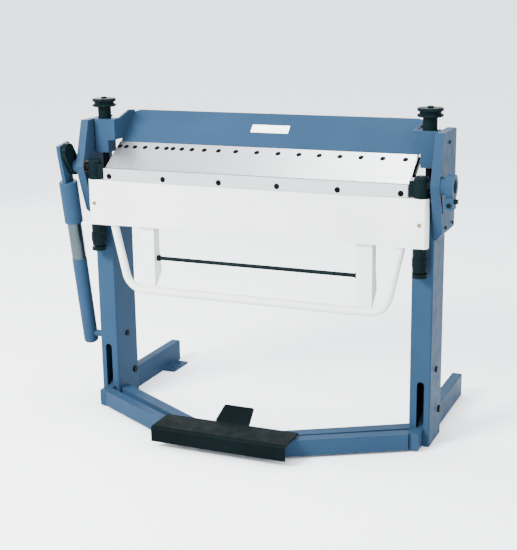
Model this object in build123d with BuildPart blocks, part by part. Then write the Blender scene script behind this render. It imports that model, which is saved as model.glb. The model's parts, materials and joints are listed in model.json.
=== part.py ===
"""Foot-operated box and pan folding brake, 1270 mm working length.

The frame stands on two hollow legs with rear feet.  A clamping beam with segmented
fingers slides up and down on two threaded tie rods, which a foot pedal pulls down
inside the legs.  The apron hangs in front of the bed and folds the sheet about the
bending edge; a telescopic spring strut on the left carries part of its weight.

Frame: millimetres, +X to the operator's right, +Y to the back, +Z up, floor at Z = 0.
The machine is drawn clamped: beam down, pedal down, apron hanging.
"""
from build123d import *
from math import atan2, cos, degrees, hypot, radians, sin
import os

# ---------------------------------------------------------------- driving dimensions
WORK_LENGTH = 1270.0        # bending length
HALF = WORK_LENGTH / 2
AXIS_Y = -151.0             # bending edge, which is also the hinge axis of the apron
AXIS_Z = 1027.5
SIDES = (("left", -1), ("right", 1))

LEG_IN = 640.0              # inner face of each leg
LEG_OUT = 722.0
LEG_FRONT = -112.0
LEG_BACK = 60.0
LEG_TOP = 960.0
LEG_WALL = 5.0
SPRING_SEAT_Z = 702.0       # plate inside each leg that the lift spring stands on
POST_X = 682.0              # hinge heads, shafts and apron bosses
ROD_X = 684.0               # tie rods, knobs and pedal arms
ROD_Y = -55.0
ROD_R = 15.0

SIDE_PLATE = 34.0           # thickness of the side plates, outside the legs
PLATE_OUT = LEG_OUT + SIDE_PLATE
HINGE_PIN_R = 17.95
BUSH_IN_R = 18.0
BUSH_OUT_R = 26.0

FINGER_ANGLE = 35.4         # slope of the finger faces above the horizontal
FINGER_LENGTH = 154.7
FINGER_THICK = 10.0
FINGER_GAP = 0.4
FINGER_WIDTHS = (25, 35, 45, 50, 60, 25, 35, 45, 45, 65, 60, 90, 180, 167.5, 167.5, 175)
WIDE_FINGER = 120.0         # wider fingers take two bolts
FINGER_BOLT_T = 126.0       # bolt line, measured up the slope from the nose
FINGER_BOLT_R = 11.0
STRIP_BOLT_R = 11.5
CLAMP_BAR_T = (62.0, 154.0)
CLAMP_BAR_THICK = 18.0

BLOCK_IN = 634.0            # end blocks of the clamping beam
BLOCK_OUT = 716.0
BLOCK_TOP = 1214.5
REAR_PLATE_LENGTH = 167.0
REAR_PLATE_THICK = 12.0
STEM_TOP = 1263.0
KNOB_R = 48.0

APRON_HALF = 711.0
APRON_FRONT = -159.4
APRON_THICK = 20.0
APRON_TOP = 978.6
APRON_BOTTOM = 793.0
END_FACE_Y = -172.6         # front of the thicker apron ends, ahead of the shafts
BOSS_R = 29.5
SHAFT_R = 18.0
SHAFT_BOTTOM = 682.0
STRIP_THICK = 9.2
HANDLE_Y = -143.0
HANDLE_Z = 526.0
HANDLE_TUBE_R = 16.0
GRIP_HALF = 423.0

STRUT_X = -803.5            # balance strut: plane of its axis
STRUT_FOOT_Y = -60.0
STRUT_FOOT_Z = 285.0
CRANK_PIN_Y = -192.0
CRANK_PIN_Z = 1090.0
CRANK_X = (-795.0, -775.0)
SLEEVE_R = 38.0
STRUT_TUBE_R = 31.0
SLIDE_TUBE_R = 29.5

PEDAL_PIVOT_Y = 26.0
PEDAL_PIVOT_Z = 109.3
TREAD_HALF = 279.0
TREAD_FRONT = -500.0
TREAD_BACK = -358.0
TREAD_TOP = 87.0
FOOT_END = 500.0


# ---------------------------------------------------------------- small helpers
def save(piece, label):
    """Name a finished piece and write its STEP file."""
    piece.part.label = label
    export_step(piece.part, f"parts/{label}.step")


def block(x0, x1, y0, y1, z0, z1, mode=Mode.ADD):
    """A box between two corners, in any order of the corners."""
    with Locations(((x0 + x1) / 2, (y0 + y1) / 2, (z0 + z1) / 2)):
        Box(abs(x1 - x0), abs(y1 - y0), abs(z1 - z0), mode=mode)


def round_x(x0, x1, y, z, radius, mode=Mode.ADD):
    """A cylinder along X."""
    with Locations(Location(((x0 + x1) / 2, y, z), (0, 90, 0))):
        Cylinder(radius, abs(x1 - x0), mode=mode)


def round_y(x, y0, y1, z, radius, mode=Mode.ADD):
    """A cylinder along Y."""
    with Locations(Location((x, (y0 + y1) / 2, z), (90, 0, 0))):
        Cylinder(radius, abs(y1 - y0), mode=mode)


def round_z(x, y, z0, z1, radius, mode=Mode.ADD):
    """A cylinder along Z."""
    with Locations((x, y, (z0 + z1) / 2)):
        Cylinder(radius, abs(z1 - z0), mode=mode)


def side_profile(x0, x1, points, mode=Mode.ADD):
    """Extrude an outline drawn in Y and Z from x0 to x1."""
    with BuildSketch(Plane.YZ.offset(min(x0, x1))) as outline:
        with BuildLine():
            Polyline(*points, close=True)
        make_face()
    extrude(outline.sketch, amount=abs(x1 - x0), mode=mode)


def ribbon(path, half_width):
    """Corners of a strip of constant width with mitred bends along a path."""
    left = []
    right = []
    for i, (x, y) in enumerate(path):
        before = path[max(i - 1, 0)]
        after = path[min(i + 1, len(path) - 1)]
        a_in = atan2(y - before[1], x - before[0]) if i else None
        a_out = atan2(after[1] - y, after[0] - x) if i < len(path) - 1 else None
        a_in = a_out if a_in is None else a_in
        a_out = a_in if a_out is None else a_out
        middle = (a_in + a_out) / 2
        reach = half_width / cos((a_out - a_in) / 2)
        left.append((x - reach * sin(middle), y + reach * cos(middle)))
        right.append((x + reach * sin(middle), y - reach * cos(middle)))
    return left + right[::-1]


def mitred_tube(path, width, z0, z1, wall):
    """A rectangular tube lying flat along a bent path, open at both ends."""
    with BuildSketch(Plane.XY.offset(z0)) as outside:
        with BuildLine():
            Polyline(*ribbon(path, width / 2), close=True)
        make_face()
    extrude(outside.sketch, amount=z1 - z0)
    with BuildSketch(Plane.XY.offset(z0 + wall)) as inside:
        with BuildLine():
            Polyline(*ribbon(path, width / 2 - wall), close=True)
        make_face()
    extrude(inside.sketch, amount=z1 - z0 - 2 * wall, mode=Mode.SUBTRACT)


def polar(angle, length):
    """Y and Z steps of a length along a slope, in degrees above the horizontal."""
    return length * cos(radians(angle)), length * sin(radians(angle))


os.makedirs("parts", exist_ok=True)

# ---------------------------------------------------------------- fixed frame
SLOT_HALF = 14.7            # half width of the pedal slot in each leg
SLOT_TOP = 260.0
FOOT_HALF = 22.0
HUB_STUB_END = 777.0
RING_R = 44.0

for side, s in SIDES:
    with BuildPart() as leg:
        block(s * LEG_IN, s * LEG_OUT, LEG_FRONT, LEG_BACK, 0, LEG_TOP)
        fillet(leg.edges().filter_by(Axis.Z), radius=7)
        block(s * (LEG_IN + LEG_WALL), s * (LEG_OUT - LEG_WALL),
              LEG_FRONT + LEG_WALL, LEG_BACK - LEG_WALL, 0, LEG_TOP, Mode.SUBTRACT)
        block(s * (LEG_IN + 1), s * (LEG_OUT - 1), LEG_FRONT + 1, LEG_BACK - 1,
              SPRING_SEAT_Z - 5, SPRING_SEAT_Z)
        round_z(s * ROD_X, ROD_Y, SPRING_SEAT_Z - 6, SPRING_SEAT_Z + 1, ROD_R + 2,
                Mode.SUBTRACT)
        block(s * (ROD_X - SLOT_HALF), s * (ROD_X + SLOT_HALF), LEG_FRONT - 1,
              LEG_FRONT + LEG_WALL + 3, 0, SLOT_TOP - SLOT_HALF, Mode.SUBTRACT)
        round_y(s * ROD_X, LEG_FRONT - 1, LEG_FRONT + LEG_WALL + 3, SLOT_TOP - SLOT_HALF,
                SLOT_HALF, Mode.SUBTRACT)
        round_x(s * (LEG_IN - 1), s * (LEG_OUT + 1), PEDAL_PIVOT_Y, PEDAL_PIVOT_Z, 10,
                Mode.SUBTRACT)
        round_x(s * (LEG_IN - 1), s * (LEG_OUT + 1), -28, 290, 8, Mode.SUBTRACT)
    save(leg, f"{side}_leg")

    with BuildPart() as foot:
        block(s * (POST_X - FOOT_HALF), s * (POST_X + FOOT_HALF), LEG_BACK, FOOT_END, 0, 97)
        fillet(foot.edges().filter_by(Axis.Y), radius=4)
        block(s * (POST_X - FOOT_HALF + 4), s * (POST_X + FOOT_HALF - 4), LEG_BACK,
              FOOT_END - 4, 4, 93, Mode.SUBTRACT)
    save(foot, f"{side}_rear_foot")

    with BuildPart() as side_plate:
        side_profile(s * LEG_OUT, s * PLATE_OUT,
                     [(-124, 1214), (-182, 1030), (-120, 848), (-112, 817),
                      (56, 817), (56, 1214)])
        bottom_edge = side_plate.edges().filter_by(Axis.Y).group_by(Axis.Z)[0]
        outer_edge = bottom_edge.sort_by(Axis.X)[0 if s < 0 else -1]
        chamfer(outer_edge, length=26)
        round_x(s * (LEG_OUT - 1), s * (PLATE_OUT + 1), AXIS_Y, AXIS_Z, BUSH_OUT_R,
                Mode.SUBTRACT)
        with BuildSketch(Plane.YZ.offset(min(s * LEG_OUT, s * PLATE_OUT))):
            with Locations((-137, 957)):
                SlotCenterToCenter(68, 14, rotation=-68)
        extrude(amount=SIDE_PLATE, mode=Mode.SUBTRACT)
    save(side_plate, f"{side}_side_plate")

with BuildPart() as bosses:
    round_x(-PLATE_OUT, CRANK_X[1] + 0.5, AXIS_Y, AXIS_Z, 27)
    round_x(-PLATE_OUT, CRANK_X[1] + 0.5, AXIS_Y, AXIS_Z, BUSH_IN_R + 0.3, Mode.SUBTRACT)
    round_x(PLATE_OUT, HUB_STUB_END, AXIS_Y, AXIS_Z, 32)
    round_x(PLATE_OUT, HUB_STUB_END, AXIS_Y, AXIS_Z, BUSH_OUT_R, Mode.SUBTRACT)
save(bosses, "hinge_bosses")

with BuildPart() as ring:
    round_x(HUB_STUB_END, 806, AXIS_Y, AXIS_Z, RING_R)
    block(770, 806, AXIS_Y - 22, AXIS_Y + 22, AXIS_Z - 82, AXIS_Z - 36)
    round_x(769, 807, AXIS_Y, AXIS_Z, BUSH_OUT_R, Mode.SUBTRACT)
    block(769, 807, AXIS_Y - 1.5, AXIS_Y + 1.5, AXIS_Z - 83, AXIS_Z - 20, Mode.SUBTRACT)
    block(769, HUB_STUB_END, AXIS_Y - 40, AXIS_Y + 40, AXIS_Z - 44, AXIS_Z + 44, Mode.SUBTRACT)
    round_y(789, AXIS_Y - 23, AXIS_Y + 23, AXIS_Z - 66, 5, Mode.SUBTRACT)
    round_x(795, 807, AXIS_Y - 12, AXIS_Z - 52, 5, Mode.SUBTRACT)
save(ring, "hinge_clamp_ring")

with BuildPart() as ring_screws:
    round_y(789, AXIS_Y - 22, AXIS_Y + 22, AXIS_Z - 66, 5)
    round_y(789, AXIS_Y - 28, AXIS_Y - 22, AXIS_Z - 66, 8)
    round_x(795, 806, AXIS_Y - 12, AXIS_Z - 52, 5)
    round_x(806, 820, AXIS_Y - 12, AXIS_Z - 52, 9)
save(ring_screws, "clamp_ring_screws")

with BuildPart() as bushes:
    for s, end in ((-1, PLATE_OUT), (1, 790)):
        round_x(s * LEG_OUT, s * end, AXIS_Y, AXIS_Z, BUSH_OUT_R)
        round_x(s * LEG_OUT, s * end, AXIS_Y, AXIS_Z, BUSH_IN_R, Mode.SUBTRACT)
save(bushes, "hinge_bushes")

BED_TOP = AXIS_Z - 0.3
BAR_BOTTOM = 985.0
BED_SCREW_X = (-560, -280, 0, 280, 560)
with BuildPart() as bed_beam:
    block(-LEG_IN, LEG_IN, -82, 53, 840, BAR_BOTTOM)
    block(-LEG_IN, LEG_IN, -74, 45, 848, BAR_BOTTOM - 8, Mode.SUBTRACT)
save(bed_beam, "bed_beam")

with BuildPart() as bed_bar:
    block(-HALF - 3, HALF + 3, AXIS_Y + 2, -12, BAR_BOTTOM, BED_TOP)
    with Locations(*[(x, -45, BED_TOP) for x in BED_SCREW_X]):
        CounterBoreHole(radius=6, counter_bore_radius=10, counter_bore_depth=11, depth=50)
save(bed_bar, "bed_edge_bar")

# U-shaped tubes seen from above: brace fixed to the legs, pedal tube in front of it
BRACE_PATH = [(-LEG_IN - 40, -42), (-77, -390), (77, -390), (LEG_IN + 40, -42)]
with BuildPart() as brace:
    mitred_tube(BRACE_PATH, 50, 10, 60, 4)
    block(-800, -LEG_IN, -300, 100, 0, 100, Mode.SUBTRACT)
    block(LEG_IN, 800, -300, 100, 0, 100, Mode.SUBTRACT)
    for s in (-1, 1):
        block(s * 16, s * 22, -365, -326, 26, 56)
    round_x(-16, 16, -334, 42, 5)
save(brace, "front_brace_tube")

with BuildPart() as anchors:
    for s in (-1, 1):
        block(s * 602, s * 660, 327, 463, 0, 8)
        with Locations((s * 628, 360, 8), (s * 628, 430, 8)):
            Hole(radius=7, depth=8)
save(anchors, "floor_anchor_plates")

with BuildPart() as pivot_bolts:
    for s in (-1, 1):
        round_x(s * LEG_IN, s * LEG_OUT, PEDAL_PIVOT_Y, PEDAL_PIVOT_Z, 9.95)
        round_x(s * (LEG_IN - 7), s * LEG_IN, PEDAL_PIVOT_Y, PEDAL_PIVOT_Z, 14)
        round_x(s * LEG_OUT, s * (LEG_OUT + 7), PEDAL_PIVOT_Y, PEDAL_PIVOT_Z, 14)
save(pivot_bolts, "pedal_pivot_bolts")

with BuildPart() as stop_bolts:
    for s in (-1, 1):
        round_x(s * LEG_IN, s * LEG_OUT, -28, 290, 8)
        round_x(s * (LEG_IN - 6), s * LEG_IN, -28, 290, 12)
        round_x(s * LEG_OUT, s * (LEG_OUT + 6), -28, 290, 12)
save(stop_bolts, "leg_stop_bolts")

with BuildPart() as frame_screws:
    for s in (-1, 1):
        for y, z in ((-49, 1173), (-78, 860), (30, 860)):
            round_x(s * PLATE_OUT, s * (PLATE_OUT + 5), y, z, 6)
    for x in BED_SCREW_X:
        round_z(x, -45, BAR_BOTTOM, BED_TOP - 11, 6)
        round_z(x, -45, BED_TOP - 11, BED_TOP - 0.5, 10)
save(frame_screws, "frame_screws")

with BuildPart() as stud:
    round_x(-830, -LEG_OUT, STRUT_FOOT_Y, STRUT_FOOT_Z, 14)
    round_x(-LEG_OUT - 8, -LEG_OUT, STRUT_FOOT_Y, STRUT_FOOT_Z, 20)
save(stud, "strut_stud")

# ---------------------------------------------------------------- clamping beam
FINGER_FACE = Plane(origin=(0, AXIS_Y, AXIS_Z + 0.3), x_dir=(1, 0, 0),
                    z_dir=(0, -sin(radians(FINGER_ANGLE)), cos(radians(FINGER_ANGLE))))


def slope_point(t, depth):
    """Y and Z of a point t up the finger slope and depth behind its face."""
    dy, dz = polar(FINGER_ANGLE, t)
    by, bz = polar(FINGER_ANGLE - 90, depth)
    return AXIS_Y + dy + by, AXIS_Z + 0.3 + dz + bz


def finger_bolt_places():
    """X of each finger bolt: one on a narrow finger, two on a wide one."""
    places = []
    x = -HALF
    for width in FINGER_WIDTHS:
        if width > WIDE_FINGER:
            places += [x + width / 4, x + 3 * width / 4]
        else:
            places.append(x + width / 2)
        x += width
    return places


BOLT_X = finger_bolt_places()
sole = FINGER_THICK / sin(radians(FINGER_ANGLE))
FINGER_OUTLINE = [(AXIS_Y, AXIS_Z + 0.3), slope_point(FINGER_LENGTH, 0),
                  slope_point(FINGER_LENGTH, FINGER_THICK), (AXIS_Y + sole, AXIS_Z + 0.3)]

# The fingers lift out one by one; neighbouring sizes share a node
FINGER_SIZES = {"fingers_25_35mm": (25, 35), "fingers_45_50mm": (45, 50),
                "fingers_60_90mm": (60, 65, 90), "fingers_168_180mm": (167.5, 175, 180)}
finger_starts = [-HALF + sum(FINGER_WIDTHS[:i]) for i in range(len(FINGER_WIDTHS))]
for label, sizes in FINGER_SIZES.items():
    with BuildPart() as fingers:
        for start, width in zip(finger_starts, FINGER_WIDTHS):
            if width not in sizes:
                continue
            side_profile(start + FINGER_GAP / 2, start + width - FINGER_GAP / 2,
                         FINGER_OUTLINE)
            inside = [x for x in BOLT_X if start < x < start + width]
            with Locations(*[FINGER_FACE.location * Location((x, FINGER_BOLT_T, 0))
                             for x in inside]):
                CounterBoreHole(radius=6, counter_bore_radius=FINGER_BOLT_R,
                                counter_bore_depth=5, depth=12)
    save(fingers, label)

with BuildPart() as clamp_bar:
    low, high = CLAMP_BAR_T
    back = FINGER_THICK + CLAMP_BAR_THICK
    side_profile(-HALF - 6, HALF + 6,
                 [slope_point(low, FINGER_THICK), slope_point(high, FINGER_THICK),
                  slope_point(high, back), slope_point(low, back)])
    with Locations(*[FINGER_FACE.location * Location((x, FINGER_BOLT_T, -FINGER_THICK))
                     for x in BOLT_X]):
        Hole(radius=6, depth=CLAMP_BAR_THICK)
save(clamp_bar, "finger_clamp_bar")

with BuildPart() as finger_bolts:
    with Locations(FINGER_FACE.location):
        with Locations(*[(x, FINGER_BOLT_T, -2.75) for x in BOLT_X]):
            Cylinder(FINGER_BOLT_R, 4.5)
        with Locations(*[(x, FINGER_BOLT_T, -16) for x in BOLT_X]):
            Cylinder(6, 22)
        with Locations(*[(x, FINGER_BOLT_T, -1.75) for x in BOLT_X]):
            Cylinder(4.2, 2.5, mode=Mode.SUBTRACT)
save(finger_bolts, "finger_bolts")

REAR_PLATE_FACE = Plane(origin=(0, -18.5, 1119), x_dir=(1, 0, 0),
                        z_dir=(0, -sin(radians(45)), cos(radians(45))))
with BuildPart() as rear_plate:
    with BuildSketch(REAR_PLATE_FACE):
        with BuildLine():
            Polyline((-632, 0), (632, 0), (632, REAR_PLATE_LENGTH - 14),
                     (600, REAR_PLATE_LENGTH), (-600, REAR_PLATE_LENGTH),
                     (-632, REAR_PLATE_LENGTH - 14), close=True)
        make_face()
    extrude(amount=-REAR_PLATE_THICK)
save(rear_plate, "beam_rear_plate")

with BuildPart() as spine:
    side_profile(-626, 626, [slope_point(CLAMP_BAR_T[1], FINGER_THICK + 1), (-18.0, 1118.3),
                             (-10.3, 1110.6), (14, 1110.6), (14, 1086), (-2, 1086),
                             slope_point(CLAMP_BAR_T[1], FINGER_THICK + CLAMP_BAR_THICK)])
save(spine, "beam_spine")

with BuildPart() as blank_plate:
    with BuildSketch(REAR_PLATE_FACE):
        with Locations((10, 89)):
            RectangleRounded(160, 38, 3)
    extrude(amount=1.2)
save(blank_plate, "blank_plate")

for side, s in SIDES:
    with BuildPart() as end_block:
        block(s * 657, s * BLOCK_OUT, -84, -20, 1078, BLOCK_TOP)
        block(s * BLOCK_IN, s * 657, -84, -20, 1128.7, BLOCK_TOP)
        round_z(s * ROD_X, ROD_Y, 1077, BLOCK_TOP + 1, ROD_R, Mode.SUBTRACT)
    save(end_block, f"{side}_end_block")

with BuildPart() as brackets:
    for s in (-1, 1):
        side_profile(s * (BLOCK_IN - 9), s * BLOCK_IN,
                     [(-84, 1131), (-84, BLOCK_TOP), (-31, 1217), (51, 1241), (88, 1238),
                      (97.5, 1235), (-6.5, 1131)])
save(brackets, "beam_end_brackets")

# Tie rods: one turned bar each, with a collar for the lift spring and a forked end
THREAD_PITCH = 6.0
FORK_PIN_Z = 82.0
with BuildPart() as tie_rods:
    for s in (-1, 1):
        round_z(s * ROD_X, ROD_Y, 150, 1078, ROD_R - 1.2)
        round_z(s * ROD_X, ROD_Y, 1078, 1280, ROD_R)
        for i in range(17):
            z = 978 + i * THREAD_PITCH
            round_z(s * ROD_X, ROD_Y, z, z + THREAD_PITCH / 2, ROD_R)
        round_z(s * ROD_X, ROD_Y, 822, 832, 26)
        block(s * (ROD_X - 20), s * (ROD_X + 20), ROD_Y - 14, ROD_Y + 14, 138, 150)
        for step in (-17, 17):
            block(s * (ROD_X + step - 3), s * (ROD_X + step + 3), ROD_Y - 12, ROD_Y + 12,
                  FORK_PIN_Z - 14, 138)
        round_x(s * (ROD_X - 14), s * (ROD_X + 14), ROD_Y, FORK_PIN_Z, 6)
save(tie_rods, "tie_rods")

SPRING_TURNS = 6
with BuildPart() as lift_springs:
    for s in (-1, 1):
        with BuildLine():
            coil = Helix(pitch=19, height=19 * SPRING_TURNS, radius=22,
                         center=(s * ROD_X, ROD_Y, 705))
        with BuildSketch(Plane(origin=coil @ 0, z_dir=coil % 0)):
            Circle(2.5)
        sweep(path=coil)
save(lift_springs, "lift_springs")

with BuildPart() as stems:
    for s in (-1, 1):
        round_z(s * ROD_X, ROD_Y, BLOCK_TOP, STEM_TOP, 27)
        round_z(s * ROD_X, ROD_Y, BLOCK_TOP - 1, STEM_TOP + 1, ROD_R, Mode.SUBTRACT)
        round_x(s * (ROD_X - 26.5), s * (ROD_X - 35), ROD_Y, 1226, 4)
save(stems, "knob_stems")

KNOB_PROFILE = [(15.3, 1263.5), (45, 1263.5), (KNOB_R, 1266.5), (KNOB_R, 1272), (40, 1276.5),
                (40, 1281.5), (KNOB_R, 1286), (KNOB_R, 1294), (45.5, 1296.5), (12, 1297.5),
                (12, 1301), (9, 1303), (0, 1303.5), (0, 1284), (15.3, 1284)]
for side, s in SIDES:
    with BuildPart() as knob:
        with BuildSketch(Plane(origin=(s * ROD_X, ROD_Y, 0), x_dir=(1, 0, 0),
                               z_dir=(0, -1, 0))):
            with BuildLine():
                Polyline(*KNOB_PROFILE, close=True)
            make_face()
        revolve(axis=Axis((s * ROD_X, ROD_Y, 0), (0, 0, 1)))
    save(knob, f"{side}_adjusting_knob")

# ---------------------------------------------------------------- apron and its hinges
HEAD_BOTTOM = 981.0
HEAD_TOP = 1060.0
with BuildPart() as heads:
    for s in (-1, 1):
        round_z(s * POST_X, AXIS_Y, HEAD_BOTTOM, HEAD_TOP, 28)
    chamfer(heads.edges().filter_by(GeomType.CIRCLE).group_by(Axis.Z)[-1], length=9)
    for s in (-1, 1):
        block(s * (HALF + 5), s * 662, AXIS_Y - 18, AXIS_Y - 4, HEAD_BOTTOM + 3, 1042)
        round_x(s * 654, s * 712, AXIS_Y, AXIS_Z, HINGE_PIN_R, Mode.SUBTRACT)
save(heads, "hinge_heads")

with BuildPart() as pins:
    round_x(-654, CRANK_X[0], AXIS_Y, AXIS_Z, HINGE_PIN_R)
    round_x(654, 786, AXIS_Y, AXIS_Z, HINGE_PIN_R)
save(pins, "hinge_pins")

with BuildPart() as shafts:
    for s in (-1, 1):
        round_z(s * POST_X, AXIS_Y, SHAFT_BOTTOM, HEAD_BOTTOM, SHAFT_R)
        round_z(s * POST_X, AXIS_Y, SHAFT_BOTTOM, SHAFT_BOTTOM + 15, 29)
save(shafts, "apron_shafts")

with BuildPart() as crank:
    x0, x1 = CRANK_X
    with BuildSketch(Plane.YZ.offset(x0)):
        with Locations((AXIS_Y, AXIS_Z), (CRANK_PIN_Y, CRANK_PIN_Z)):
            Circle(36)
        make_hull()
    extrude(amount=x1 - x0)
    round_x(x0 - 1, x1 + 1, AXIS_Y, AXIS_Z, HINGE_PIN_R, Mode.SUBTRACT)
save(crank, "balance_crank")

TONGUE_TOP = 1014.0
BOLT_Z = 994.5
STRIP_BOLT_X = [-609.6 + i * 243.84 for i in range(6)]
with BuildPart() as apron:
    block(-APRON_HALF, APRON_HALF, APRON_FRONT, APRON_FRONT + APRON_THICK,
          APRON_BOTTOM, APRON_TOP)
    for s in (-1, 1):
        round_z(s * POST_X, AXIS_Y, APRON_BOTTOM, APRON_TOP, BOSS_R)
        with BuildSketch(Plane.XY.offset(APRON_BOTTOM)) as end:
            with BuildLine():
                Polyline((s * 520, APRON_FRONT), (s * 640, END_FACE_Y),
                         (s * APRON_HALF, END_FACE_Y), (s * APRON_HALF, AXIS_Y),
                         (s * 520, AXIS_Y), close=True)
            make_face()
            corner = end.vertices().group_by(Axis.Y)[0].sort_by(Axis.X)[0 if s < 0 else -1]
            fillet(corner, radius=20)
        extrude(amount=APRON_TOP - APRON_BOTTOM)
        block(s * 640, s * 720, AXIS_Y - BOSS_R - 5, END_FACE_Y, APRON_BOTTOM - 1,
              APRON_TOP + 1, Mode.SUBTRACT)
    block(-HALF, HALF, APRON_FRONT, AXIS_Y - 0.6, APRON_TOP, TONGUE_TOP)
    for s in (-1, 1):
        round_z(s * POST_X, AXIS_Y, APRON_BOTTOM - 1, APRON_TOP + 1, SHAFT_R + 0.3,
                Mode.SUBTRACT)
        round_y(s * POST_X, END_FACE_Y - 1, AXIS_Y - SHAFT_R, 882, 4, Mode.SUBTRACT)
    for x in STRIP_BOLT_X:
        round_y(x, APRON_FRONT, AXIS_Y, BOLT_Z, 5, Mode.SUBTRACT)
save(apron, "apron_plate")

with BuildPart() as strip:
    block(-HALF, HALF, APRON_FRONT - STRIP_THICK, APRON_FRONT, 981, AXIS_Z - 0.9)
    block(-HALF, HALF, APRON_FRONT - 1, AXIS_Y - 0.5, TONGUE_TOP, AXIS_Z - 0.9)
    for x in STRIP_BOLT_X:
        round_y(x, APRON_FRONT - STRIP_THICK, APRON_FRONT, BOLT_Z, 5, Mode.SUBTRACT)
        round_y(x, APRON_FRONT - STRIP_THICK, APRON_FRONT - 3, BOLT_Z, STRIP_BOLT_R,
                Mode.SUBTRACT)
save(strip, "bending_strip")

with BuildPart() as strip_bolts:
    for x in STRIP_BOLT_X:
        round_y(x, APRON_FRONT - STRIP_THICK + 0.6, APRON_FRONT - 3, BOLT_Z, STRIP_BOLT_R)
        round_y(x, APRON_FRONT - 3, AXIS_Y - 0.9, BOLT_Z, 5)
        round_y(x, APRON_FRONT - STRIP_THICK + 0.5, APRON_FRONT - STRIP_THICK + 4, BOLT_Z,
                4.3, Mode.SUBTRACT)
save(strip_bolts, "strip_bolts")

with BuildPart() as sleeves:
    for s in (-1, 1):
        round_z(s * POST_X, AXIS_Y, 756, APRON_BOTTOM, 27)
        round_z(s * POST_X, AXIS_Y, 704, 721, 27)
        round_z(s * POST_X, AXIS_Y, 721, 756, 24)
        round_z(s * POST_X, AXIS_Y, 703, APRON_BOTTOM + 1, SHAFT_R + 0.3, Mode.SUBTRACT)
save(sleeves, "adjuster_sleeves")

with BuildPart() as ring_nuts:
    for s in (-1, 1):
        round_z(s * POST_X, AXIS_Y, 721, 756, 30)
        round_z(s * POST_X, AXIS_Y, 720, 757, 24, Mode.SUBTRACT)
        with Locations((s * POST_X, AXIS_Y, 738.5)):
            with PolarLocations(30.5, 8):
                Cylinder(2.5, 36, mode=Mode.SUBTRACT)
save(ring_nuts, "adjuster_ring_nuts")

with BuildPart() as lock_screws:
    for s in (-1, 1):
        round_y(s * POST_X, END_FACE_Y - 5, END_FACE_Y, 882, 7)
        round_y(s * POST_X, END_FACE_Y, AXIS_Y - SHAFT_R - 1, 882, 4)
save(lock_screws, "apron_lock_screws")

STRUT_BACK = APRON_FRONT + APRON_THICK
with BuildPart() as handle_struts:
    for s in (-1, 1):
        side_profile(s * 432, s * 495,
                     [(STRUT_BACK, 543), (STRUT_BACK, 920), (STRUT_BACK + 48, 900),
                      (STRUT_BACK + 48, 690), (STRUT_BACK + 62, 598), (STRUT_BACK + 10, 543)])
        block(s * 436, s * 491, STRUT_BACK + 4, 0, 541, 921, Mode.SUBTRACT)
    round_x(-437, 437, -110, 657, 8, Mode.SUBTRACT)
save(handle_struts, "handle_struts")

with BuildPart() as truss_rod:
    round_x(-436, 436, -110, 657, 8)
    for s in (-1, 1):
        round_x(s * 420, s * 432, -110, 657, 12)
save(truss_rod, "truss_rod")

HANDLE_POINTS = [(610.5, 801), (548.9, HANDLE_Z), (GRIP_HALF, HANDLE_Z)]
with BuildPart() as handle_tubes:
    for s in (-1, 1):
        with BuildLine(Plane.XZ.offset(-HANDLE_Y)) as route:
            FilletPolyline(*[(s * x, z) for x, z in HANDLE_POINTS], radius=80)
        with BuildSketch(Plane(origin=route.line @ 0, z_dir=route.line % 0)):
            Circle(HANDLE_TUBE_R)
        sweep(path=route.line)
    split(bisect_by=Plane.XY.offset(APRON_BOTTOM), keep=Keep.BOTTOM)
save(handle_tubes, "handle_side_tubes")

with BuildPart() as grip:
    round_x(-GRIP_HALF, GRIP_HALF, HANDLE_Y, HANDLE_Z, HANDLE_TUBE_R + 1)
save(grip, "handle_grip_tube")

# ---------------------------------------------------------------- balance strut
STRUT_LENGTH = hypot(CRANK_PIN_Y - STRUT_FOOT_Y, CRANK_PIN_Z - STRUT_FOOT_Z)
STRUT_LEAN = degrees(atan2(STRUT_FOOT_Y - CRANK_PIN_Y, CRANK_PIN_Z - STRUT_FOOT_Z))
STRUT = Plane(origin=(STRUT_X, STRUT_FOOT_Y, STRUT_FOOT_Z), x_dir=(1, 0, 0),
              z_dir=(0, -sin(radians(STRUT_LEAN)), cos(radians(STRUT_LEAN))))
LOWER_TOP = 350.0
SLEEVE_BOTTOM = 512.0
SLEEVE_TOP = 689.0
with BuildPart(STRUT) as lower_tube:
    round_z(0, 0, -42, LOWER_TOP, STRUT_TUBE_R)
    fillet(lower_tube.edges().filter_by(GeomType.CIRCLE).sort_by(Axis.Z)[0], radius=12)
    round_z(0, 0, 30, LOWER_TOP, 23, Mode.SUBTRACT)
    round_z(0, 0, LOWER_TOP - 50, LOWER_TOP, SLIDE_TUBE_R, Mode.SUBTRACT)
    round_x(-40, 40, 0, 0, 14.1, Mode.SUBTRACT)
save(lower_tube, "strut_lower_tube")

with BuildPart(STRUT) as slide_tube:
    round_z(0, 0, LOWER_TOP - 50, 585, SLIDE_TUBE_R)
    round_z(0, 0, LOWER_TOP - 50, 585, 23, Mode.SUBTRACT)
save(slide_tube, "strut_slide_tube")

with BuildPart(STRUT) as sleeve:
    round_z(0, 0, SLEEVE_BOTTOM, SLEEVE_TOP, SLEEVE_R)
    chamfer(sleeve.edges().filter_by(GeomType.CIRCLE).group_by(Axis.Z)[-1], length=3)
    round_z(0, 0, SLEEVE_BOTTOM, SLEEVE_TOP - 12, SLIDE_TUBE_R + 0.3, Mode.SUBTRACT)
save(sleeve, "strut_sleeve")

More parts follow.
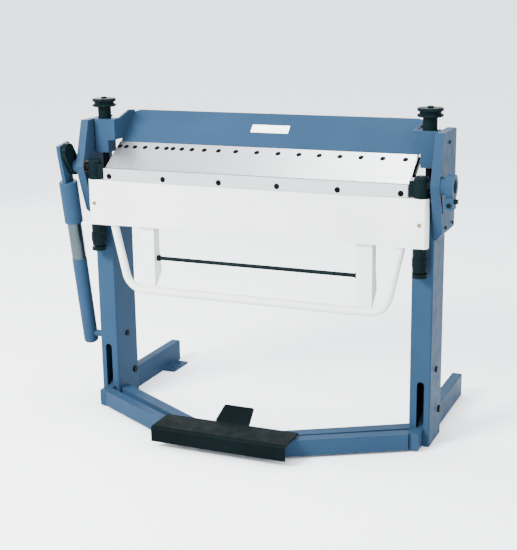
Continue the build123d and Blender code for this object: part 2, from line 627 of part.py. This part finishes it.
with BuildPart(STRUT) as lug:
    with BuildSketch(Plane(origin=STRUT.from_local_coords((-8, 0, 0)), x_dir=STRUT.y_dir,
                           z_dir=STRUT.x_dir)):
        with BuildLine():
            Polyline((-30, SLEEVE_TOP), (30, SLEEVE_TOP), (38, STRUT_LENGTH),
                     (38, STRUT_LENGTH + 33), (-38, STRUT_LENGTH + 33),
                     (-38, STRUT_LENGTH), close=True)
        make_face()
    extrude(amount=15.5)
    round_x(-9, 9, 0, STRUT_LENGTH, 8, Mode.SUBTRACT)
save(lug, "strut_lug")

with BuildPart(STRUT) as strut_pin:
    round_x(-8, 7.5, 0, STRUT_LENGTH, 8)
    round_x(-16, -8, 0, STRUT_LENGTH, 15)
save(strut_pin, "strut_pin")

with BuildPart(STRUT) as strut_spring:
    with BuildLine():
        turns = Helix(pitch=22, height=22 * 24, radius=17, direction=STRUT.z_dir,
                      center=STRUT.from_local_coords((0, 0, 34)))
    with BuildSketch(Plane(origin=turns @ 0, z_dir=turns % 0)):
        Circle(3)
    sweep(path=turns)
save(strut_spring, "strut_spring")

# ---------------------------------------------------------------- pedal
ARM_OUTLINE = [(-112, 6), (-112, 73), (-96, 73), (8, 137), (40, 136), (54, 109), (40, 82), (-60, 14)]
with BuildPart() as arms:
    for s in (-1, 1):
        side_profile(s * (ROD_X - 12.5), s * (ROD_X + 12.5), ARM_OUTLINE)
        side_profile(s * (ROD_X - 12.5), s * (ROD_X + 12.5),
                     [(-178.6, 6), (-178.6, 73), (-112, 73), (-112, 6)])
        side_profile(s * 661, s * 696, [(-178.6, 6), (-178.6, 73), (-114, 73), (-114, 6)])
        round_x(s * 660, s * 700, PEDAL_PIVOT_Y, PEDAL_PIVOT_Z, 10.02, Mode.SUBTRACT)
        round_x(s * 660, s * 700, ROD_Y, FORK_PIN_Z, 12, Mode.SUBTRACT)
save(arms, "pedal_arms")

PEDAL_PATH = [(-700, -144), (-118, -470), (118, -470), (700, -144)]
with BuildPart() as pedal_tube:
    mitred_tube(PEDAL_PATH, 43, 10, 74, 4)
    block(-800, -661, -500, 100, 0, 100, Mode.SUBTRACT)
    block(661, 800, -500, 100, 0, 100, Mode.SUBTRACT)
    block(-185, 185, -520, -300, 0, 44, Mode.SUBTRACT)
save(pedal_tube, "pedal_tube")

with BuildPart() as tread:
    side_profile(-TREAD_HALF, TREAD_HALF,
                 [(TREAD_FRONT, 26), (TREAD_FRONT, TREAD_TOP), (TREAD_BACK, TREAD_TOP),
                  (TREAD_BACK, TREAD_TOP - 6), (TREAD_FRONT + 6, TREAD_TOP - 6),
                  (TREAD_FRONT + 6, 26)])
    bend = tread.edges().filter_by(Axis.X).group_by(Axis.Z)[-1].sort_by(Axis.Y)[0]
    fillet(bend, radius=14)
    for s in (-1, 1):
        block(s * 205, s * 255, -416, -399, 74, TREAD_TOP - 6)
save(tread, "tread_plate")

LATCH_Y = -347.0
LATCH_Z = 70.0
with BuildPart() as latch:
    with BuildSketch(Plane(origin=(0, -352, 80.5), x_dir=(1, 0, 0),
                           z_dir=(0, -sin(radians(31)), cos(radians(31))))):
        with BuildLine():
            Polyline((-73, 0), (73, 0), (63, 88), (-63, 88), close=True)
        make_face()
        fillet(vertices().group_by(Axis.Z)[-1], radius=9)
    extrude(amount=4)
    block(-12, 12, LATCH_Y - 5, LATCH_Y + 5, LATCH_Z - 6, 84)
    block(-10, 10, LATCH_Y - 4, LATCH_Y + 4, 30, LATCH_Z)
    round_x(-13, 13, LATCH_Y, LATCH_Z, 4.1, Mode.SUBTRACT)
save(latch, "release_tab")

with BuildPart() as latch_pin:
    round_x(-24, 24, LATCH_Y, LATCH_Z, 4)
    for s in (-1, 1):
        block(s * 15, s * 21, -372, -341, 62, 77)
        block(s * 15, s * 21, -372, -359, 77, TREAD_TOP - 6)
save(latch_pin, "release_tab_pin")
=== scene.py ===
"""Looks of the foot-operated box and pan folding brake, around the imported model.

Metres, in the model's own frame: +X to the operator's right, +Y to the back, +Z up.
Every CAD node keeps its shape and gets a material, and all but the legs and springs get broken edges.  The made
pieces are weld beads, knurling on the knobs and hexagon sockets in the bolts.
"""
import json
from math import cos, pi, radians, sin

import bmesh
import bpy
from mathutils import Matrix, Vector


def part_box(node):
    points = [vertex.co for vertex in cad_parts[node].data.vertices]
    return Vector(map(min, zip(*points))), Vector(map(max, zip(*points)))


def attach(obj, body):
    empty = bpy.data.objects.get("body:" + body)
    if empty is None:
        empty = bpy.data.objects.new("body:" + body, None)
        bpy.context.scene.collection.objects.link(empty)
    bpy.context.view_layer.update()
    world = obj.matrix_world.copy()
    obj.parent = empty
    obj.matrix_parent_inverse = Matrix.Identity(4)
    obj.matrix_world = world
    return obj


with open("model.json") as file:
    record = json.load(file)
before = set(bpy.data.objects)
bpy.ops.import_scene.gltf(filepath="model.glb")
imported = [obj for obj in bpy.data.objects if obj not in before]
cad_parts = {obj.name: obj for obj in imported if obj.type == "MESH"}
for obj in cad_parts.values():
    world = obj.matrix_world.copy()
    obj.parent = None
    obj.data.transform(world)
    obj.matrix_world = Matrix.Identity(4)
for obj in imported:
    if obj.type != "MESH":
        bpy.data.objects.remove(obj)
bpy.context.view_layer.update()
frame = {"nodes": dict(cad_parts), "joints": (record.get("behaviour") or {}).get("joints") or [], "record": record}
nodes = frame["nodes"]
joint_place = {j["name"]: Vector(j["pos_m"]) for j in frame["joints"] if "pos_m" in j}


def corners(node):
    """Lowest and highest corner of a CAD node at rest."""
    low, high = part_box(node)
    return Vector(low), Vector(high)


# ------------------------------------------------------------------ materials
FILM_IOR = 1.08             # low, so that dark paint stays dark at a grazing angle
ORANGE_PEEL_DEPTH = 0.0006
METAL_MARK_DEPTH = 0.0003
GRAIN_DEPTH = 0.0008


class Tree:
    """A material's node tree, with short calls for the nodes used here."""

    def __init__(self, name):
        self.mat = bpy.data.materials.new(name)
        self.mat.use_nodes = True
        self.nodes = self.mat.node_tree.nodes
        self.links = self.mat.node_tree.links
        self.shader = self.nodes["Principled BSDF"]
        self.place = self.nodes.new("ShaderNodeTexCoord").outputs["Object"]

    def stretched(self, scale):
        """Object coordinates, scaled apart in X, Y and Z."""
        mapping = self.nodes.new("ShaderNodeMapping")
        mapping.inputs["Scale"].default_value = scale
        self.links.new(self.place, mapping.inputs["Vector"])
        return mapping.outputs["Vector"]

    def noise(self, scale, detail=3.0, vector=None):
        node = self.nodes.new("ShaderNodeTexNoise")
        node.inputs["Scale"].default_value = scale
        node.inputs["Detail"].default_value = detail
        self.links.new(vector or self.place, node.inputs["Vector"])
        return node.outputs["Fac"]

    def ramp(self, value, low, high, start=0.35, end=0.65):
        """low where value is at start, high where it is at end."""
        node = self.nodes.new("ShaderNodeMapRange")
        node.inputs["From Min"].default_value = start
        node.inputs["From Max"].default_value = end
        node.inputs["To Min"].default_value = low
        node.inputs["To Max"].default_value = high
        self.links.new(value, node.inputs["Value"])
        return node.outputs["Result"]

    def mix(self, factor, a, b):
        """Colour a, turning into colour b as factor goes from 0 to 1."""
        node = self.nodes.new("ShaderNodeMix")
        node.data_type = "RGBA"
        for socket, colour in ((node.inputs[6], a), (node.inputs[7], b)):
            if isinstance(colour, tuple):
                socket.default_value = (*colour, 1)
            else:
                self.links.new(colour, socket)
        self.links.new(factor, node.inputs[0])
        return node.outputs[2]

    def edges(self, width):
        """1 along sharp convex and concave edges, 0 on flats."""
        bevel = self.nodes.new("ShaderNodeBevel")
        bevel.inputs["Radius"].default_value = width
        geometry = self.nodes.new("ShaderNodeNewGeometry")
        dot = self.nodes.new("ShaderNodeVectorMath")
        dot.operation = "DOT_PRODUCT"
        self.links.new(bevel.outputs["Normal"], dot.inputs[0])
        self.links.new(geometry.outputs["Normal"], dot.inputs[1])
        return self.ramp(dot.outputs["Value"], 1, 0, 0.8, 0.99)

    def times(self, a, b):
        node = self.nodes.new("ShaderNodeMath")
        node.operation = "MULTIPLY"
        self.links.new(a, node.inputs[0])
        self.links.new(b, node.inputs[1])
        return node.outputs[0]

    def bump(self, height, strength, distance):
        node = self.nodes.new("ShaderNodeBump")
        node.inputs["Strength"].default_value = strength
        node.inputs["Distance"].default_value = distance
        self.links.new(height, node.inputs["Height"])
        self.links.new(node.outputs["Normal"], self.shader.inputs["Normal"])

    def use(self, socket, value):
        """Drive a shader socket by a node."""
        self.links.new(value, self.shader.inputs[socket])

    def set(self, socket, value):
        """Give a shader socket one value all over."""
        self.shader.inputs[socket].default_value = value


def shade(colour, k):
    """The colour, k times as bright."""
    return tuple(min(c * k, 1.0) for c in colour)


def paint(name, colour, worn, peel=0.08):
    """Sprayed enamel: orange peel, slow tone changes, rubbed edges."""
    t = Tree(name)
    tone = t.ramp(t.noise(scale=4.0, detail=4), 0, 1)
    body = t.mix(tone, shade(colour, 0.94), shade(colour, 1.05))
    patches = t.ramp(t.noise(scale=38.0, detail=5), 0, 0.65, start=0.42, end=0.66)
    t.use("Base Color", t.mix(t.times(t.edges(width=0.0022), patches), body, worn))
    t.use("Roughness", t.ramp(t.noise(scale=22.0, detail=4), 0.34, 0.44))
    t.set("IOR", FILM_IOR)
    t.bump(t.noise(scale=420.0, detail=2), peel, ORANGE_PEEL_DEPTH)
    return t.mat


def metal(name, colour, rough, scale, grain=0.12, tone=0.06):
    """Ground, turned or drawn metal: fine marks along one direction."""
    t = Tree(name)
    marks = t.noise(scale=1.0, detail=6, vector=t.stretched(scale))
    cloud = t.ramp(t.noise(scale=9.0, detail=4), 0, 1)
    base = t.mix(cloud, shade(colour, 1 - tone), shade(colour, 1 + tone))
    t.use("Base Color", t.mix(t.ramp(marks, 0, 0.35), base, shade(colour, 0.82)))
    t.use("Roughness", t.ramp(marks, rough - 0.06, rough + 0.08))
    t.set("Metallic", 1.0)
    t.bump(marks, grain, METAL_MARK_DEPTH)
    return t.mat


def matt(name, colour, rough, grain, size=300.0, worn=None):
    """Blackened or powder-coated surface with a fine grain."""
    t = Tree(name)
    tone = t.ramp(t.noise(scale=7.0, detail=4), 0, 1)
    body = t.mix(tone, shade(colour, 0.85), shade(colour, 1.15))
    if worn:
        patches = t.ramp(t.noise(scale=55.0, detail=5), 0, 0.55, start=0.45, end=0.7)
        body = t.mix(t.times(t.edges(width=0.0015), patches), body, worn)
    t.use("Base Color", body)
    t.use("Roughness", t.ramp(t.noise(scale=30.0, detail=4), rough - 0.06, rough + 0.08))
    t.set("IOR", FILM_IOR)
    t.bump(t.noise(scale=size, detail=3), grain, GRAIN_DEPTH)
    return t.mat


MATS = {
    "blue": paint("blue_enamel", (0.0150, 0.0350, 0.0660), worn=(0.055, 0.095, 0.145)),
    "white": paint("off_white_enamel", (0.62, 0.65, 0.62), worn=(0.50, 0.51, 0.50), peel=0.05),
    "ground": metal("ground_steel", (0.50, 0.515, 0.53), rough=0.34, scale=(4, 620, 620),
                    grain=0.03, tone=0.02),
    "black_bolts": matt("black_oxide_screws", (0.003, 0.003, 0.004), rough=0.34, grain=0.10,
                        size=500, worn=(0.02, 0.02, 0.02)),
    "dark": matt("black_green_enamel", (0.0020, 0.0055, 0.0065), rough=0.36, grain=0.16,
                 size=360, worn=(0.05, 0.06, 0.06)),
    "bare": metal("turned_steel", (0.055, 0.072, 0.082), rough=0.38, scale=(12, 12, 700),
                  grain=0.10),
    "brass": metal("dull_brass", (0.17, 0.16, 0.060), rough=0.42, scale=(60, 500, 60)),
    "bronze": metal("bearing_bronze", (0.24, 0.17, 0.10), rough=0.45, scale=(500, 60, 60)),
    "plate": matt("blank_plate_face", (0.80, 0.81, 0.81), rough=0.35, grain=0.03),
    "tread": matt("tread_coating", (0.0012, 0.0032, 0.0038), rough=0.52, grain=0.35,
                  size=210, worn=(0.03, 0.04, 0.04)),
}
SLOT_OF = {s["node"]: s["material_slot"] for s in frame["record"]["subparts"]}
SLOT_OF.update({"tread_plate": "tread", "release_tab": "tread"})
for name, obj in nodes.items():
    obj.data.materials.clear()
    obj.data.materials.append(MATS[SLOT_OF[name]])

# Every edge of the machined and folded pieces catches a little light
USUAL_BREAK = 0.0008
BROKEN_EDGE = {"left_leg": 0, "right_leg": 0, "lift_springs": 0, "strut_spring": 0,
               "finger_bolts": 0.0003, "strip_bolts": 0.0003}
for name, obj in nodes.items():
    width = BROKEN_EDGE.get(name, USUAL_BREAK)
    if width:
        bevel = obj.modifiers.new("broken_edge", "BEVEL")
        bevel.width = width
        bevel.segments = 2
        bevel.limit_method = "ANGLE"
        bevel.angle_limit = radians(40)

# ------------------------------------------------------------------ small made pieces
AXIS = joint_place["apron_fold"]        # a point on the bending edge, which is the hinge axis


def add_piece(name, bm, body, slot_name, smooth=True):
    """Turn a bmesh into a piece that rides on a body."""
    bmesh.ops.recalc_face_normals(bm, faces=bm.faces)
    mesh = bpy.data.meshes.new(name)
    bm.to_mesh(mesh)
    bm.free()
    if smooth:
        mesh.shade_smooth()
    mesh.materials.append(MATS[slot_name])
    obj = bpy.data.objects.new(name, mesh)
    bpy.context.scene.collection.objects.link(obj)
    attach(obj, body)
    return obj


def run(start, end, step=0.0015):
    """Evenly spaced points from start to end."""
    start, end = Vector(start), Vector(end)
    count = max(3, round((end - start).length / step))
    return [start.lerp(end, i / count) for i in range(count + 1)]


def ring_x(x, y, z, radius, count=110):
    """Points on a circle about a line along X."""
    return [Vector((x, y + radius * cos(2 * pi * i / count), z + radius * sin(2 * pi * i / count)))
            for i in range(count)]


def bead(bm, points, radius=0.0030, closed=False, ripple=0.0048):
    """A weld bead: a rippled tube along the points."""
    sides = 8
    rings = []
    travelled = 0.0
    for i, here in enumerate(points):
        ahead = points[(i + 1) % len(points)] if closed or i + 1 < len(points) else here
        behind = points[i - 1] if closed or i else here
        travelled += (here - behind).length if i else 0
        along = (ahead - behind).normalized()
        across = Vector((0, 0, 1)) if abs(along.x) > 0.9 else Vector((1, 0, 0))
        other = along.cross(across).normalized()
        r = radius * (0.86 + 0.20 * abs(sin(pi * travelled / ripple)))
        rings.append([bm.verts.new(here + r * (cos(2 * pi * k / sides) * across
                                               + sin(2 * pi * k / sides) * other))
                      for k in range(sides)])
    for i in range(len(rings) if closed else len(rings) - 1):
        a, b = rings[i], rings[(i + 1) % len(rings)]
        for k in range(sides):
            bm.faces.new((a[k], a[(k + 1) % sides], b[(k + 1) % sides], b[k]))
    if not closed:
        bm.faces.new(rings[0])
        bm.faces.new(rings[-1][::-1])


WELD_END = 0.004            # a bead stops this far short of a corner
FOOT_CORNER = 0.003         # and this far short of the foot's rounded ones
THIN_BEAD = 0.0026
BRACE_ON_LEG = (-0.092, -0.038)         # Y of the brace's top edge where it meets the leg
leg_low, leg_high = corners("right_leg")
foot_low, foot_high = corners("right_rear_foot")
brace_low, brace_high = corners("front_brace_tube")
anchor_low, anchor_high = corners("floor_anchor_plates")
bed_low, bed_high = corners("bed_beam")
plate_low, plate_high = corners("right_side_plate")

# The welds are the same on both sides, so X is given for the right one
FRAME_WELDS = [
    ((foot_low.x, leg_high.y, WELD_END), (foot_low.x, leg_high.y, foot_high.z - FOOT_CORNER)),
    ((foot_high.x, leg_high.y, WELD_END), (foot_high.x, leg_high.y, foot_high.z - FOOT_CORNER)),
    ((foot_low.x + FOOT_CORNER, leg_high.y, foot_high.z),
     (foot_high.x - FOOT_CORNER, leg_high.y, foot_high.z)),
    ((leg_low.x, BRACE_ON_LEG[0], brace_high.z), (leg_low.x, BRACE_ON_LEG[1], brace_high.z)),
    ((leg_low.x, bed_high.y, bed_low.z + WELD_END), (leg_low.x, bed_high.y, bed_high.z - WELD_END)),
]
ANCHOR_WELD_Y = (anchor_low.y + WELD_END, anchor_high.y - WELD_END)
HUB_WELD_RADIUS = {-1: 0.0272, 1: 0.0322}       # the right side plate has the larger hub

welds = bmesh.new()
for s in (-1, 1):
    for start, end in FRAME_WELDS:
        bead(welds, run((s * start[0], *start[1:]), (s * end[0], *end[1:])))
    bead(welds, run(*[(s * anchor_high.x, y, anchor_high.z) for y in ANCHOR_WELD_Y]), THIN_BEAD)
    bead(welds, ring_x(s * plate_high.x, AXIS.y, AXIS.z, HUB_WELD_RADIUS[s]),
         THIN_BEAD, closed=True)
add_piece("frame_weld_beads", welds, "frame", "blue")

grip_low, grip_high = corners("handle_grip_tube")
grip_middle = (grip_low + grip_high) / 2
handle_welds = bmesh.new()
for s in (-1, 1):
    bead(handle_welds, ring_x(s * grip_high.x, grip_middle.y, grip_middle.z, 0.0163),
         radius=0.0017, closed=True, ripple=0.0035)
add_piece("handle_weld_beads", handle_welds, "apron", "white")


def knurled_band(bm, x, y, low, high, radius, ridges=64, depth=0.0007, wall=0.003):
    """A closed band of upright ridges round a knob's rim, with chamfered ends."""
    count = ridges * 2
    chamfer_height, chamfer_in = 0.0008, 0.0009
    loops = []
    for z, shrink in ((low, chamfer_in), (low + chamfer_height, 0),
                      (high - chamfer_height, 0), (high, chamfer_in)):
        loops.append([])
        for i in range(count):
            r = radius - shrink - (depth if i % 2 else 0)
            a = 2 * pi * i / count
            loops[-1].append(bm.verts.new((x + r * cos(a), y + r * sin(a), z)))
    for z in (high, low):
        loops.append([bm.verts.new((x + (radius - wall) * cos(2 * pi * i / count),
                                    y + (radius - wall) * sin(2 * pi * i / count), z))
                      for i in range(count)])
    for j, a in enumerate(loops):
        b = loops[(j + 1) % len(loops)]
        for i in range(count):
            k = (i + 1) % count
            bm.faces.new((a[i], a[k], b[k], b[i]))


RIMS = ((0.0033, 0.0085), (0.0227, 0.0303))     # the two rims, above the knob's lower face
for side in ("left", "right"):
    knob_low, knob_high = corners(f"{side}_adjusting_knob")
    knob_axis = joint_place[f"{side}_knob_turn"]
    knurl_radius = (knob_high.x - knob_low.x) / 2 + 0.0007
    knurl = bmesh.new()
    for low, high in RIMS:
        knurled_band(knurl, knob_axis.x, knob_axis.y, knob_low.z + low, knob_low.z + high,
                     knurl_radius)
    add_piece(f"{side}_knob_knurl", knurl, f"{side}_knob", "dark", smooth=False)


def hex_socket(bm, place, normal, outer, across, depth):
    """A ring with a round outside and a six-sided hole, lying in a bolt's recess."""
    turn = normal.to_track_quat("Z", "Y").to_matrix().to_4x4()
    at = Matrix.Translation(place) @ turn
    count = 24
    sector_angle = pi / 3
    levels = []
    for z in (0, -depth):
        round_side = []
        hex_side = []
        for i in range(count):
            a = 2 * pi * i / count
            sector = a % sector_angle - sector_angle / 2
            r = across / 2 / cos(sector)
            round_side.append(bm.verts.new(at @ Vector((outer * cos(a), outer * sin(a), z))))
            hex_side.append(bm.verts.new(at @ Vector((r * cos(a), r * sin(a), z))))
        levels.append((round_side, hex_side))
    (top_out, top_in), (low_out, low_in) = levels
    for i in range(count):
        k = (i + 1) % count
        bm.faces.new((top_out[i], top_out[k], top_in[k], top_in[i]))
        bm.faces.new((top_in[i], top_in[k], low_in[k], low_in[i]))
        bm.faces.new((low_in[i], low_in[k], low_out[k], low_out[i]))
        bm.faces.new((low_out[i], low_out[k], top_out[k], top_out[i]))


FINGER_WIDTHS_MM = (25, 35, 45, 50, 60, 25, 35, 45, 45, 65, 60, 90, 180, 167.5, 167.5, 175)
WIDE_FINGER = 0.120         # a wider finger has two bolts
SLOPE = radians(35.4)       # of the finger faces, above the horizontal
BOLT_UP_SLOPE = 0.126       # bolt line, from the nose
BELOW_FACE = 0.0006         # the sockets lie this far under the finger faces
NOSE_GAP = 0.0003           # between the finger noses and the bending edge
strip_low, strip_high = corners("bending_strip")
along_slope = Vector((0, cos(SLOPE), sin(SLOPE)))
finger_normal = Vector((0, -sin(SLOPE), cos(SLOPE)))
finger_nose = Vector((0, AXIS.y, AXIS.z + NOSE_GAP))
bolt_line = finger_nose + BOLT_UP_SLOPE * along_slope - BELOW_FACE * finger_normal

sockets = bmesh.new()
start = strip_low.x
for width in (w / 1000 for w in FINGER_WIDTHS_MM):
    shares = (0.25, 0.75) if width > WIDE_FINGER else (0.5,)
    for share in shares:
        hex_socket(sockets, bolt_line + Vector((start + share * width, 0, 0)), finger_normal,
                   outer=0.0043, across=0.0064, depth=0.0020)
    start += width
add_piece("finger_bolt_sockets", sockets, "clamp_beam", "black_bolts", smooth=False)

STRIP_BOLTS = 6
STRIP_HEAD_R = 0.0115
PROUD = 0.0001              # the sockets stand this far out of the heads
heads_low, heads_high = corners("strip_bolts")
head_z = (heads_low.z + heads_high.z) / 2
first, last = heads_low.x + STRIP_HEAD_R, heads_high.x - STRIP_HEAD_R
strip_sockets = bmesh.new()
for i in range(STRIP_BOLTS):
    x = first + (last - first) * i / (STRIP_BOLTS - 1)
    hex_socket(strip_sockets, Vector((x, heads_low.y - PROUD, head_z)), Vector((0, -1, 0)),
               outer=0.0044, across=0.0066, depth=0.0028)
add_piece("strip_bolt_sockets", strip_sockets, "apron", "black_bolts", smooth=False)

# ------------------------------------------------------------------ floor, light, camera
REACH = 160                 # the camera sees floor all the way up its frame
UNDER_FEET = -0.0006
FLOOR_CORNERS = [(-REACH, -REACH, 0), (REACH, -REACH, 0), (REACH, REACH, 0), (-REACH, REACH, 0)]
floor_mesh = bpy.data.meshes.new("floor")
floor_mesh.from_pydata(FLOOR_CORNERS, [], [(0, 1, 2, 3)])
floor = bpy.data.objects.new("floor", floor_mesh)
floor.location.z = UNDER_FEET
bpy.context.scene.collection.objects.link(floor)
floor_tree = Tree("pale_floor")
floor_tree.set("Base Color", (0.90, 0.92, 0.94, 1))
floor_tree.set("Roughness", 0.7)
floor_tree.set("Specular IOR Level", 0.0)
floor_mesh.materials.append(floor_tree.mat)

world = bpy.data.worlds.new("studio")
bpy.context.scene.world = world
world.use_nodes = True
background = world.node_tree.nodes["Background"]
background.inputs["Color"].default_value = (0.94, 0.97, 1.0, 1)
background.inputs["Strength"].default_value = 2.8


def softbox(name, place, target, size, watts):
    """A rectangular light that faces a target."""
    light = bpy.data.lights.new(name, "AREA")
    light.shape = "RECTANGLE"
    light.size, light.size_y = size
    light.energy = watts
    obj = bpy.data.objects.new(name, light)
    obj.location = place
    obj.rotation_euler = (Vector(target) - Vector(place)).to_track_quat("-Z", "Y").to_euler()
    bpy.context.scene.collection.objects.link(obj)


MIDDLE = (0, 0, 0.7)
softbox("key", (-2.2, -3.8, 3.6), MIDDLE, size=(2.0, 1.5), watts=900)
softbox("top", (0.2, 0.4, 4.2), MIDDLE, size=(2.4, 1.8), watts=150)
softbox("rim", (-3.6, 3.2, 2.6), MIDDLE, size=(1.6, 2.0), watts=90)

CAMERA_PLACE = Vector((1.7535, -4.1412, 1.7421))
YAW, PITCH, ROLL = radians(23.3066), radians(14.2966), radians(-0.8352)
LENS_MM = 74.866
forward = Vector((-sin(YAW) * cos(PITCH), cos(YAW) * cos(PITCH), -sin(PITCH)))
right = Vector((cos(YAW), sin(YAW), 0))
up = right.cross(forward)
side = cos(ROLL) * right + sin(ROLL) * up
rise = -sin(ROLL) * right + cos(ROLL) * up
camera = bpy.data.objects.new("camera", bpy.data.cameras.new("camera"))
camera.data.sensor_width = 36
camera.data.lens = LENS_MM
camera.data.clip_end = 3 * REACH
camera.matrix_world = Matrix.Translation(CAMERA_PLACE) @ Matrix(
    (side, rise, -forward)).transposed().to_4x4()
bpy.context.scene.collection.objects.link(camera)
bpy.context.scene.camera = camera
